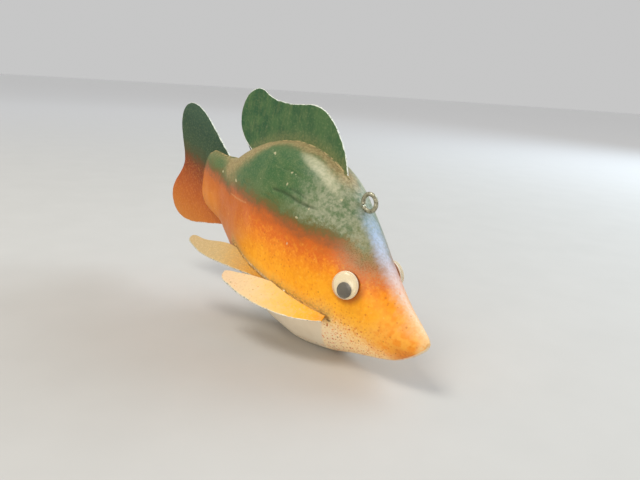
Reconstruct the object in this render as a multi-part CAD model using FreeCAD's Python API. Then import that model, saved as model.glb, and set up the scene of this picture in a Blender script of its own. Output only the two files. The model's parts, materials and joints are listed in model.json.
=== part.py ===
import FreeCAD
import Part
import math
import os

V = FreeCAD.Vector
os.makedirs("parts", exist_ok=True)

# A carved wooden panfish decoy with sheet-metal fins and moving-pupil eyes.
# All sizes are millimetres.  The fish is drawn level first: nose tip at the
# origin, +X out of the nose, +Z up through the back, -Y its right side.
# At the end every piece is pitched nose-down and dropped onto its belly flat.

# ---- driving dimensions ------------------------------------------------------
PITCH = 14.0              # nose-down angle of the fish as it stands, degrees
FLAT_DEPTH = 1.4          # how much wood and lead is filed off the keel
SHEET = 0.55              # fin sheet thickness
BEAD = 0.45               # height of the filler beads above the wood
BEAD_HALF = 1.15          # half width of a filler bead

# Outlines of the carved body: (distance behind the nose, value).
BACK = [(0, 1.0), (-1, 2.1), (-5, 4.4), (-14, 9.1), (-26, 17.1), (-36, 25.4),
        (-46, 33.0), (-54.5, 38.6), (-63, 41.4), (-72, 42.4), (-82, 41.5),
        (-92, 38.5), (-102, 34.0), (-112, 27.0), (-122, 19.2), (-131, 16.9),
        (-140, 15.8), (-144.5, 12.0)]
KEEL = [(0, -1.0), (-1, -2.8), (-5, -8.0), (-9, -11.8), (-14, -14.8),
        (-26, -20.6), (-40, -28.0), (-56, -32.8), (-70, -33.4), (-84, -31.0), (-100, -24.6),
        (-114, -17.4), (-124, -13.8), (-140, -12.6), (-144.5, -9.4)]
HALF_WIDTH = [(0, 0.8), (-1, 2.1), (-5, 4.2), (-16, 8.1), (-31, 12.3),
              (-46, 15.4), (-62, 17.2), (-80, 17.0), (-96, 14.4), (-112, 10.4),
              (-124, 7.1), (-136, 4.9), (-144.5, 2.9)]
FULLNESS = [(0, 2.0), (-30, 2.05), (-60, 2.25), (-144.5, 2.3)]
STATIONS = [0, -0.35, -1.1, -2.6, -5.5, -10, -17, -26, -36, -47, -59, -72,
            -85, -97, -108, -117, -125, -133, -139.5, -143, -144.5]
SECTION_POINTS = 28

# Screw eye in the forehead.
EYE_RING_X = -41.45
EYE_RING_Z = 34.2
EYE_RING_MID_RADIUS = 3.1
EYE_WIRE_RADIUS = 0.8
SHANK_LENGTH = 12.0
SHANK_CORE = 0.62
THREAD_PITCH = 0.8
FOREHEAD_NORMAL = V(0.62, 0, 0.785)

# Moving-pupil eyes, 10 mm size.
EYE_CENTRE = V(-31.47, -12.15, 8.44)
EYE_NORMAL = V(0.2, -0.95, 0.22)
EYE_RADIUS = 5.0
BACKING = 0.5
DOME_WALL = 0.3
DOME_SKIRT = 0.9
DOME_RISE = 1.6
PUPIL_RADIUS = 2.85
PUPIL_THICKNESS = 0.5
PUPIL_GAP = 0.25
PUPIL_OFFSET = 1.8
PAD_RADIUS = 4.5

# Lead poured into a pear-shaped pocket in the belly: a small circle in front,
# a larger one behind, joined by their outer tangents.
POCKET_FRONT_X = -20.5
POCKET_FRONT_RADIUS = 4.3
POCKET_BACK_X = -49.5
POCKET_BACK_RADIUS = 8.4
POCKET_ROOF = -4.5

# Side fins: sheet leaves pushed into kerfs low on each flank.
DROOP = 25.0
KERF_Y = 14.0
TONGUE = 5.0
FRONT_KERF_Z = -8.2
REAR_KERF_Z = -10.3

# ---- helpers -----------------------------------------------------------------


def value_at(points, x):
    """Monotone cubic through (x, value) pairs listed nose first."""
    p = sorted(points)
    n = len(p)
    h = [p[i + 1][0] - p[i][0] for i in range(n - 1)]
    d = [(p[i + 1][1] - p[i][1]) / h[i] for i in range(n - 1)]
    m = [d[0]] + [0.0] * (n - 2) + [d[-1]]
    for i in range(1, n - 1):
        if d[i - 1] * d[i] > 0:
            a = 2 * h[i] + h[i - 1]
            b = h[i] + 2 * h[i - 1]
            m[i] = (a + b) / (a / d[i - 1] + b / d[i])
    x = min(max(x, p[0][0]), p[-1][0])
    i = 0
    while i < n - 2 and x > p[i + 1][0]:
        i += 1
    t = (x - p[i][0]) / h[i]
    return ((1 + 2 * t) * (1 - t) ** 2 * p[i][1] + t * (1 - t) ** 2 * h[i] * m[i]
            + t * t * (3 - 2 * t) * p[i + 1][1] + t * t * (t - 1) * h[i] * m[i + 1])


def section(x, grow):
    """Closed body outline across the fish at x, fattened by grow."""
    top = value_at(BACK, x) + grow
    low = value_at(KEEL, x) - grow
    wide = value_at(HALF_WIDTH, x) + grow
    power = 2.0 / value_at(FULLNESS, x)
    mid = (top + low) / 2 + 0.04 * (top - low)
    at = x
    if x == STATIONS[0]:
        at = x + grow
    if x == STATIONS[-1]:
        at = x - grow
    points = []
    for k in range(SECTION_POINTS):
        a = math.pi / 2 + 2 * math.pi * (k + 0.5) / SECTION_POINTS
        c = math.cos(a)
        s = math.sin(a)
        y = wide * math.copysign(abs(c) ** power, c)
        reach = top - mid if s > 0 else mid - low
        z = mid + reach * math.copysign(abs(s) ** power, s)
        points.append(V(at, y, z))
    curve = Part.BSplineCurve()
    curve.interpolate(Points=points, PeriodicFlag=True)
    return Part.Wire([curve.toShape()])


def carved(grow):
    return Part.makeLoft([section(x, grow) for x in STATIONS], True, False)


def sheet(outline, curved):
    """A plate in the XZ plane, centred on y = 0.

    outline is a list of runs of (x, z) points; runs marked in curved are
    smooth, the others straight.  Each run starts where the last one ended.
    """
    edges = []
    for run, smooth in zip(outline, curved):
        pts = [V(x, -SHEET / 2, z) for x, z in run]
        if smooth:
            curve = Part.BSplineCurve()
            curve.interpolate(Points=pts)
            edges.append(curve.toShape())
        else:
            for a, b in zip(pts[:-1], pts[1:]):
                edges.append(Part.makeLine(a, b))
    face = Part.Face(Part.Wire(edges))
    return face.extrude(V(0, SHEET, 0))


def on_flank(shape, side, kerf_z):
    """Lay an XZ-plane shape on a drooping side-fin plane.

    The shape's z becomes distance outwards from the kerf line.
    """
    out = shape.copy()
    tilt = 90.0 + DROOP
    out.rotate(V(0, 0, 0), V(1, 0, 0), tilt)
    out.translate(V(0, -KERF_Y, kerf_z))
    if side > 0:
        out = out.mirror(V(0, 0, 0), V(0, 1, 0))
    return out


def mirrored(shape):
    return shape.mirror(V(0, 0, 0), V(0, 1, 0))


def largest(shape):
    """The one solid of a cut result, dropping slivers."""
    solids = sorted(shape.Solids, key=lambda s: s.Volume)
    return solids[-1]


def disc(centre, axis, radius, height):
    return Part.makeCylinder(radius, height, centre, axis)


# ---- body blank and fins -------------------------------------------------------
blank = carved(0.0)
grown = carved(BEAD)

dorsal_outline = [
    [(-54.5, 35.4), (-54.5, 38.8)],
    [(-54.5, 38.8), (-58.0, 45.0), (-62.0, 49.7), (-67.9, 54.5), (-73.0, 56.8),
     (-78.3, 57.4), (-84.5, 56.1), (-91.3, 53.9), (-98.6, 52.5), (-105.2, 51.9),
     (-110.0, 52.6), (-114.5, 53.1), (-118.8, 51.7), (-123.4, 47.4),
     (-125.4, 40.0), (-123.6, 33.2), (-119.3, 29.1), (-113.3, 26.6)],
    [(-113.3, 26.6), (-112.8, 22.8), (-54.5, 35.4)],
]
dorsal_fin = sheet(dorsal_outline, [False, True, False])

upper_lobe = [(-124.0, 15.0), (-134.0, 20.0), (-146.0, 26.0), (-156.0, 29.9),
              (-164.0, 30.8), (-171.0, 28.7), (-175.3, 22.5), (-173.9, 14.5),
              (-169.4, 6.5), (-167.0, 0.0)]
lower_lobe = [(-167.0, 0.0), (-168.8, -6.0), (-172.8, -13.2), (-174.0, -20.8),
              (-169.8, -26.6), (-163.0, -28.6), (-155.0, -27.8), (-146.0, -24.6),
              (-134.0, -19.4), (-124.0, -15.0)]
tail_fin = sheet([upper_lobe + lower_lobe[1:], [(-124.0, -15.0), (-124.0, 15.0)]],
                 [True, False])

front_leaf = [
    [(-60.5, -TONGUE), (-38.0, -TONGUE), (-36.2, 0.0), (-35.4, 1.6)],
    [(-35.4, 1.6), (-38.5, 4.0), (-45.0, 8.2), (-53.0, 11.7), (-61.5, 14.2),
     (-71.0, 15.5), (-78.0, 15.5), (-83.4, 14.4), (-84.7, 12.5), (-81.0, 9.4),
     (-74.0, 5.8), (-66.5, 2.9), (-60.5, 0.5)],
    [(-60.5, 0.5), (-60.5, -TONGUE)],
]
rear_leaf = [
    [(-94.0, -TONGUE), (-70.0, -TONGUE), (-68.2, 0.2)],
    [(-68.2, 0.2), (-69.2, 1.4), (-76.3, 4.6), (-84.0, 7.0), (-93.4, 9.9),
     (-99.5, 11.5), (-106.0, 12.2), (-112.5, 11.7), (-116.4, 10.3), (-116.7, 8.7),
     (-111.7, 6.5), (-106.0, 3.9), (-99.1, 0.2), (-94.0, -0.8)],
    [(-94.0, -0.8), (-94.0, -TONGUE)],
]
front_flat = sheet(front_leaf, [False, True, False])
rear_flat = sheet(rear_leaf, [False, True, False])
front_fin_right = on_flank(front_flat, -1, FRONT_KERF_Z)
front_fin_left = on_flank(front_flat, 1, FRONT_KERF_Z)
rear_fin_right = on_flank(rear_flat, -1, REAR_KERF_Z)
rear_fin_left = on_flank(rear_flat, 1, REAR_KERF_Z)

# ---- filler beads where sheet meets wood ----------------------------------------


def slab(x_front, x_back, z_low, z_high):
    return Part.makeBox(x_front - x_back, 2 * BEAD_HALF, z_high - z_low,
                        V(x_back, -BEAD_HALF, z_low))


def bead(strip, fin):
    return largest(grown.common(strip).cut(blank).cut(fin))


dorsal_filler = bead(slab(-53.2, -115.0, 18.0, 50.0), dorsal_fin)
tail_filler = bead(slab(-122.4, -150.0, -30.0, 30.0), tail_fin)
front_strip = slab(-34.2, -67.0, -3.0, 6.0)
rear_strip = slab(-66.8, -100.5, -3.0, 6.0)
front_filler_right = bead(on_flank(front_strip, -1, FRONT_KERF_Z), front_fin_right)
rear_filler_right = bead(on_flank(rear_strip, -1, REAR_KERF_Z), rear_fin_right)
rear_filler_right = largest(rear_filler_right.cut(front_filler_right))
front_filler_left = mirrored(front_filler_right)
rear_filler_left = mirrored(rear_filler_right)

# ---- screw eye -------------------------------------------------------------------
into_wood = V(FOREHEAD_NORMAL)
into_wood.normalize()
into_wood = into_wood * -1.0
ring_centre = V(EYE_RING_X, 0, EYE_RING_Z)
ring = Part.makeTorus(EYE_RING_MID_RADIUS, EYE_WIRE_RADIUS, ring_centre, V(0, 1, 0))

# Shank drawn along +Z from the ring, then turned to point into the wood.
profile = [V(0, 0, 0), V(EYE_WIRE_RADIUS, 0, 0), V(EYE_WIRE_RADIUS, 0, 3.0)]
z = 3.0
while z + THREAD_PITCH < SHANK_LENGTH - 1.2:
    profile.append(V(SHANK_CORE, 0, z + 0.35 * THREAD_PITCH))
    profile.append(V(EYE_WIRE_RADIUS, 0, z + THREAD_PITCH))
    z += THREAD_PITCH
profile.append(V(SHANK_CORE, 0, z + 0.3))
profile.append(V(0, 0, SHANK_LENGTH))
profile.append(V(0, 0, 0))
shank = Part.Face(Part.makePolygon(profile)).revolve(V(0, 0, 0), V(0, 0, 1), 360)
turn = FreeCAD.Rotation(V(0, 0, 1), into_wood)
shank.Placement = FreeCAD.Placement(ring_centre + into_wood * EYE_RING_MID_RADIUS, turn)
line_tie = ring.fuse(shank)

# ---- eyes ------------------------------------------------------------------------
look = V(EYE_NORMAL)
look.normalize()
down = V(math.sin(math.radians(PITCH)), 0, -math.cos(math.radians(PITCH)))
hang = down - look * down.dot(look)
hang.normalize()

eye_backing_right = disc(EYE_CENTRE, look, EYE_RADIUS, BACKING)
seat = EYE_CENTRE + look * BACKING


def dome_solid(radius, skirt, rise):
    """A round skirt closed by an elliptical cap, sitting on z = 0."""
    steps = 9
    arc = []
    for k in range(steps + 1):
        a = math.pi / 2 * k / steps
        arc.append(V(radius * math.cos(a), 0, skirt + rise * math.sin(a)))
    curve = Part.BSplineCurve()
    curve.interpolate(Points=arc)
    edges = [Part.makeLine(V(0, 0, 0), V(radius, 0, 0)),
             Part.makeLine(V(radius, 0, 0), V(radius, 0, skirt)),
             curve.toShape(),
             Part.makeLine(V(0, 0, skirt + rise), V(0, 0, 0))]
    return Part.Face(Part.Wire(edges)).revolve(V(0, 0, 0), V(0, 0, 1), 360)


dome = dome_solid(EYE_RADIUS, DOME_SKIRT, DOME_RISE)
dome = dome.cut(dome_solid(EYE_RADIUS - DOME_WALL, DOME_SKIRT, DOME_RISE - DOME_WALL))
dome.Placement = FreeCAD.Placement(seat, FreeCAD.Rotation(V(0, 0, 1), look))
eye_dome_right = dome
eye_pupil_right = disc(seat + look * PUPIL_GAP + hang * PUPIL_OFFSET, look,
                       PUPIL_RADIUS, PUPIL_THICKNESS)
eye_pad_right = largest(disc(EYE_CENTRE - look * 3.0, look, PAD_RADIUS, 3.0).cut(blank))

# ---- lead and the finished body ----------------------------------------------------
lean = math.asin((POCKET_BACK_RADIUS - POCKET_FRONT_RADIUS) / (POCKET_FRONT_X - POCKET_BACK_X))
touch_x = math.sin(lean)
touch_y = math.cos(lean)
front_touch = V(POCKET_FRONT_X + POCKET_FRONT_RADIUS * touch_x, POCKET_FRONT_RADIUS * touch_y, 0)
back_touch = V(POCKET_BACK_X + POCKET_BACK_RADIUS * touch_x, POCKET_BACK_RADIUS * touch_y, 0)
front_right = V(front_touch.x, -front_touch.y, 0)
back_right = V(back_touch.x, -back_touch.y, 0)
nose_point = V(POCKET_FRONT_X + POCKET_FRONT_RADIUS, 0, 0)
tail_point = V(POCKET_BACK_X - POCKET_BACK_RADIUS, 0, 0)
rim = Part.Wire([
    Part.makeLine(back_touch, front_touch),
    Part.Arc(front_touch, nose_point, front_right).toShape(),
    Part.makeLine(front_right, back_right),
    Part.Arc(back_right, tail_point, back_touch).toShape(),
])
pocket = Part.Face(rim).extrude(V(0, 0, 40))
pocket.translate(V(0, 0, POCKET_ROOF - 40))
belly_ballast = largest(blank.common(pocket))

body = blank.cut(pocket)
for piece in (dorsal_fin, tail_fin, front_fin_right, front_fin_left,
              rear_fin_right, rear_fin_left, line_tie):
    body = body.cut(piece)

# ---- stand the fish on its belly flat ------------------------------------------------
pieces = {
    "body": body,
    "belly_ballast": belly_ballast,
    "dorsal_fin": dorsal_fin,
    "tail_fin": tail_fin,
    "front_fin_right": front_fin_right,
    "front_fin_left": front_fin_left,
    "rear_fin_right": rear_fin_right,
    "rear_fin_left": rear_fin_left,
    "dorsal_filler": dorsal_filler,
    "tail_filler": tail_filler,
    "front_filler_right": front_filler_right,
    "front_filler_left": front_filler_left,
    "rear_filler_right": rear_filler_right,
    "rear_filler_left": rear_filler_left,
    "line_tie": line_tie,
    "eye_backing_right": eye_backing_right,
    "eye_backing_left": mirrored(eye_backing_right),
    "eye_pupil_right": eye_pupil_right,
    "eye_pupil_left": mirrored(eye_pupil_right),
    "eye_dome_right": eye_dome_right,
    "eye_dome_left": mirrored(eye_dome_right),
    "eye_pad_right": eye_pad_right,
    "eye_pad_left": mirrored(eye_pad_right),
}

slope = math.radians(PITCH)
lowest = 0.0
flat_x = 0.0
for k in range(600):
    x = -k * 0.2
    z = value_at(KEEL, x) * math.cos(slope) - x * math.sin(slope)
    if z < lowest:
        lowest = z
        flat_x = x * math.cos(slope) + value_at(KEEL, x) * math.sin(slope)
floor = lowest + FLAT_DEPTH
under = Part.makeBox(400, 200, 50, V(-200, -100, -50))

for name, shape in pieces.items():
    shape.rotate(V(0, 0, 0), V(0, 1, 0), PITCH)
    shape.translate(V(-flat_x, 0, -floor))
    if name in ("body", "belly_ballast"):
        shape = largest(shape.cut(under))
    box = shape.BoundBox
    print("%-20s solids %d valid %s vol %.2f  x %.2f..%.2f y %.2f..%.2f z %.2f..%.2f" % (
        name, len(shape.Solids), shape.isValid(), shape.Volume,
        box.XMin, box.XMax, box.YMin, box.YMax, box.ZMin, box.ZMax))
    shape.exportStep("parts/" + name + ".step")
hub = seat + look * (PUPIL_GAP + PUPIL_THICKNESS / 2)
hub_x = hub.x * math.cos(slope) + hub.z * math.sin(slope) - flat_x
hub_z = hub.z * math.cos(slope) - hub.x * math.sin(slope) - floor
axis_x = look.x * math.cos(slope) + look.z * math.sin(slope)
axis_z = look.z * math.cos(slope) - look.x * math.sin(slope)
print("right pupil turns about %.4f %.4f %.4f, axis %.6f %.6f %.6f" % (
    hub_x, hub.y, hub_z, axis_x, look.y, axis_z))
print("ring centre %.4f 0 %.4f" % (
    EYE_RING_X * math.cos(slope) + EYE_RING_Z * math.sin(slope) - flat_x,
    EYE_RING_Z * math.cos(slope) - EYE_RING_X * math.sin(slope) - floor))
print("shift x %.5f z %.5f, nose tip above the floor %.2f" % (-flat_x, -floor, -floor))
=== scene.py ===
import json
import math
from types import SimpleNamespace

import bmesh
import bpy
import numpy as np
from mathutils import Matrix, Vector, noise
from mathutils.bvhtree import BVHTree


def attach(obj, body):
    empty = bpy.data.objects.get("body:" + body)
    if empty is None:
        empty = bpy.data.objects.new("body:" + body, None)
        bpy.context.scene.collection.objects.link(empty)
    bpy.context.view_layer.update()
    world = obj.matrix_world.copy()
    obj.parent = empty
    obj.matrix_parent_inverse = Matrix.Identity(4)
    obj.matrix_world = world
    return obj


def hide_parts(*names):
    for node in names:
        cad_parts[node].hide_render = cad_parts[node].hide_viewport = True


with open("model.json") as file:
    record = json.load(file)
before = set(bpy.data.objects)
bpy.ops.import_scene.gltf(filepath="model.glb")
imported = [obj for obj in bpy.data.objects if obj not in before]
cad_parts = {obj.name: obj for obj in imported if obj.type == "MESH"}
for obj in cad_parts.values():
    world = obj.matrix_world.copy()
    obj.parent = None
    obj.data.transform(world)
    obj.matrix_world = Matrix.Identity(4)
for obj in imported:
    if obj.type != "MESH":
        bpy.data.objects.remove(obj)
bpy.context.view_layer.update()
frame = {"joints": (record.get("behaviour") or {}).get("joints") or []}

# A carved and painted panfish decoy.  Shapes are worked out in the level fish
# frame, in millimetres: nose tip at the origin, +X out of the nose, +Z up through
# the back, -Y its right side.  to_row() pitches the fish nose-down and puts it in
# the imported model's frame, in metres.
PITCH = math.radians(14.0)
MM = 0.001
JOIN = 0.003 * MM          # points closer than this are one point

# ---- sizes shared with the CAD part ----
BACK = [(0, 1.0), (-1, 2.1), (-5, 4.4), (-14, 9.1), (-26, 17.1), (-36, 25.4),
        (-46, 33.0), (-54.5, 38.6), (-63, 41.4), (-72, 42.4), (-82, 41.5),
        (-92, 38.5), (-102, 34.0), (-112, 27.0), (-122, 19.2), (-131, 16.9),
        (-140, 15.8), (-144.5, 12.0)]
KEEL = [(0, -1.0), (-1, -2.8), (-5, -8.0), (-9, -11.8), (-14, -14.8),
        (-26, -20.6), (-40, -28.0), (-56, -32.8), (-70, -33.4), (-84, -31.0), (-100, -24.6),
        (-114, -17.4), (-124, -13.8), (-140, -12.6), (-144.5, -9.4)]
HALF_WIDTH = [(0, 0.8), (-1, 2.1), (-5, 4.2), (-16, 8.1), (-31, 12.3),
              (-46, 15.4), (-62, 17.2), (-80, 17.0), (-96, 14.4), (-112, 10.4),
              (-124, 7.1), (-136, 4.9), (-144.5, 2.9)]
FULLNESS = [(0, 2.0), (-30, 2.05), (-60, 2.25), (-144.5, 2.3)]
STUB_END = -144.5
SHEET = 0.55
EYE_CENTRE = np.array([-31.47, -12.15, 8.44])
EYE_NORMAL = np.array([0.2, -0.95, 0.22])
EYE_RADIUS = 5.0
BACKING = 0.5
DOME_WALL = 0.3
DOME_SKIRT = 0.9
DOME_RISE = 1.6
PUPIL_RADIUS = 2.85
PUPIL_THICKNESS = 0.5
PUPIL_GAP = 0.25
PUPIL_OFFSET = 1.8
RING_CENTRE = np.array([-41.45, 0.0, 34.2])
RING_MID_RADIUS = 3.1
WIRE_RADIUS = 0.8
SHANK_LENGTH = 12.0
SHANK_UP = np.array([0.62, 0.0, 0.785])
DROOP = math.radians(25.0)
KERF_Y = 14.0
FRONT_KERF_Z = -8.2
REAR_KERF_Z = -10.3
TONGUE = 5.0
POCKET_ENDS = [(-20.5, 4.3), (-49.5, 8.4)]
POCKET_ROOF = -4.5
POCKET_FLOOR = -45.0       # below the keel, so that the pocket is cut right through

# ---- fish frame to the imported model's frame, and mesh tools ----


def unit(vectors):
    return vectors / np.linalg.norm(vectors, axis=-1, keepdims=True)


TURN = np.array([[math.cos(PITCH), 0, math.sin(PITCH)],
                 [0, 1, 0],
                 [-math.sin(PITCH), 0, math.cos(PITCH)]])
EYE_OUT = unit(EYE_NORMAL)
HUB = EYE_CENTRE + EYE_OUT * (BACKING + PUPIL_GAP + PUPIL_THICKNESS / 2)
swing = next(j for j in frame["joints"] if j["name"] == "pupil_swing_right")
SHIFT = np.array(swing["pos_m"]) / MM - TURN @ HUB


def to_row(points):
    return (np.asarray(points, float) @ TURN.T + SHIFT) * MM


def profile(points, x):
    """Monotone cubic through (x, value) pairs, for an array of x."""
    p = np.array(sorted(points), float)
    h = np.diff(p[:, 0])
    d = np.diff(p[:, 1]) / h
    m = np.concatenate([[d[0]], np.zeros(len(p) - 2), [d[-1]]])
    for i in range(1, len(p) - 1):
        if d[i - 1] * d[i] > 0:
            a = 2 * h[i] + h[i - 1]
            b = h[i] + 2 * h[i - 1]
            m[i] = (a + b) / (a / d[i - 1] + b / d[i])
    x = np.clip(np.asarray(x, float), p[0, 0], p[-1, 0])
    i = np.clip(np.searchsorted(p[:, 0], x, side="right") - 1, 0, len(h) - 1)
    t = (x - p[i, 0]) / h[i]
    return ((1 + 2 * t) * (1 - t) ** 2 * p[i, 1] + t * (1 - t) ** 2 * h[i] * m[i]
            + t * t * (3 - 2 * t) * p[i + 1, 1] + t * t * (t - 1) * h[i] * m[i + 1])


def smooth_line(points, count):
    """Natural cubic spline through points, sampled evenly along its chords."""
    p = np.array(points, float)
    s = np.concatenate([[0], np.cumsum(np.linalg.norm(np.diff(p, axis=0), axis=1))])
    n = len(p)
    h = np.diff(s)
    system = np.eye(n)
    right = np.zeros_like(p)
    for i in range(1, n - 1):
        system[i, i - 1:i + 2] = h[i - 1], 2 * (h[i - 1] + h[i]), h[i]
        right[i] = 6 * ((p[i + 1] - p[i]) / h[i] - (p[i] - p[i - 1]) / h[i - 1])
    c = np.linalg.solve(system, right)
    at = np.linspace(0, s[-1], count)
    i = np.clip(np.searchsorted(s, at, side="right") - 1, 0, n - 2)
    a = ((s[i + 1] - at) / h[i])[:, None]
    b = 1 - a
    hh = (h[i] ** 2)[:, None] / 6
    return a * p[i] + b * p[i + 1] + ((a ** 3 - a) * c[i] + (b ** 3 - b) * c[i + 1]) * hh


def rough(points, scale, seed=0.0):
    """Smooth noise, about -1 to 1, at each point; scale is the lump size in mm."""
    shift = Vector((seed * 17.3, seed * -9.1, seed * 5.7))
    flat = np.asarray(points, float).reshape(-1, 3) / scale
    values = [noise.noise(Vector(q) + shift) for q in flat]
    return np.array(values).reshape(np.shape(points)[:-1])


def step(value, low, high):
    """Smooth 0 to 1 as value goes from low to high."""
    t = np.clip((value - low) / (high - low), 0, 1)
    return t * t * (3 - 2 * t)


def grid_faces(rows, cols, wrap):
    """Quads of a rows by cols vertex grid; wrap joins the last column to the first."""
    faces = []
    last = cols if wrap else cols - 1
    for i in range(rows - 1):
        for j in range(last):
            k = (j + 1) % cols
            faces.append((i * cols + j, i * cols + k, (i + 1) * cols + k, (i + 1) * cols + j))
    return faces


def circle(a, b, sides):
    """Points of the unit circle through the directions a and b."""
    turns = np.linspace(0, 2 * np.pi, sides, endpoint=False)[:, None]
    return np.cos(turns) * a + np.sin(turns) * b


def caps(rows, cols):
    """End faces of a tube of rows."""
    return [tuple(range(cols)), tuple((rows - 1) * cols + j for j in range(cols))]


def make(name, points, faces, material, node, body="fish", sharp=40, marks=None):
    """A smooth-shaded piece from fish-frame points, riding on a CAD body.

    marks gives numbers per point, by name, for the piece's material to read.
    """
    mesh = bpy.data.meshes.new(name)
    mesh.from_pydata([tuple(p) for p in to_row(points)], [], faces)
    for label, values in (marks or {}).items():
        mark(mesh, label, values)
    close_up(mesh)
    smooth(mesh, sharp)
    mesh.materials.append(material)
    fit(add_object(mesh), body, node)


def add_object(mesh, name=None):
    thing = bpy.data.objects.new(name or mesh.name, mesh)
    bpy.context.scene.collection.objects.link(thing)
    return thing


def smooth(mesh, sharp):
    """Smooth shading, but for edges sharper than the angle in degrees."""
    mesh.polygons.foreach_set("use_smooth", [True] * len(mesh.polygons))
    mesh.set_sharp_from_angle(angle=math.radians(sharp))


def fit(piece, body, node):
    """Ride the piece on its CAD body, in place of its CAD node."""
    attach(piece, body)
    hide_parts(node)


def mark(mesh, label, values):
    """Store one number per vertex under a name."""
    layer = mesh.attributes.new(label, "FLOAT", "POINT")
    layer.data.foreach_set("value", np.asarray(values, np.float32).ravel())


def close_up(mesh):
    """Join points that fall together, and turn every face outward."""
    b = bmesh.new()
    b.from_mesh(mesh)
    bmesh.ops.remove_doubles(b, verts=b.verts[:], dist=JOIN)
    bmesh.ops.recalc_face_normals(b, faces=b.faces[:])
    b.to_mesh(mesh)
    b.free()
    mesh.update()


def lathe(outline, axis_point, axis, sides):
    """Points and faces of (radius, height) pairs turned about an axis.

    An outline that starts off the axis meets itself.
    """
    side = unit(np.cross(axis, [0, 0, 1.0]))
    ring = circle(side, np.cross(axis, side), sides)
    points = [axis_point + r * ring + h * axis for r, h in outline]
    on_axis = [r == 0 for r, h in outline]
    faces = [f for f in grid_faces(len(outline), sides, True)
             if not (on_axis[f[0] // sides] and on_axis[f[2] // sides])]
    if not on_axis[0]:
        last = (len(outline) - 1) * sides
        faces += [(i, (i + 1) % sides, last + (i + 1) % sides, last + i) for i in range(sides)]
    return np.concatenate(points), faces


# ---- material tools ----


def colour(code):
    """Linear RGBA of an sRGB hex code."""
    out = []
    for i in (0, 2, 4):
        c = int(code[i:i + 2], 16) / 255
        out.append(c / 12.92 if c <= 0.04045 else ((c + 0.055) / 1.055) ** 2.4)
    return (*out, 1.0)


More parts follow.
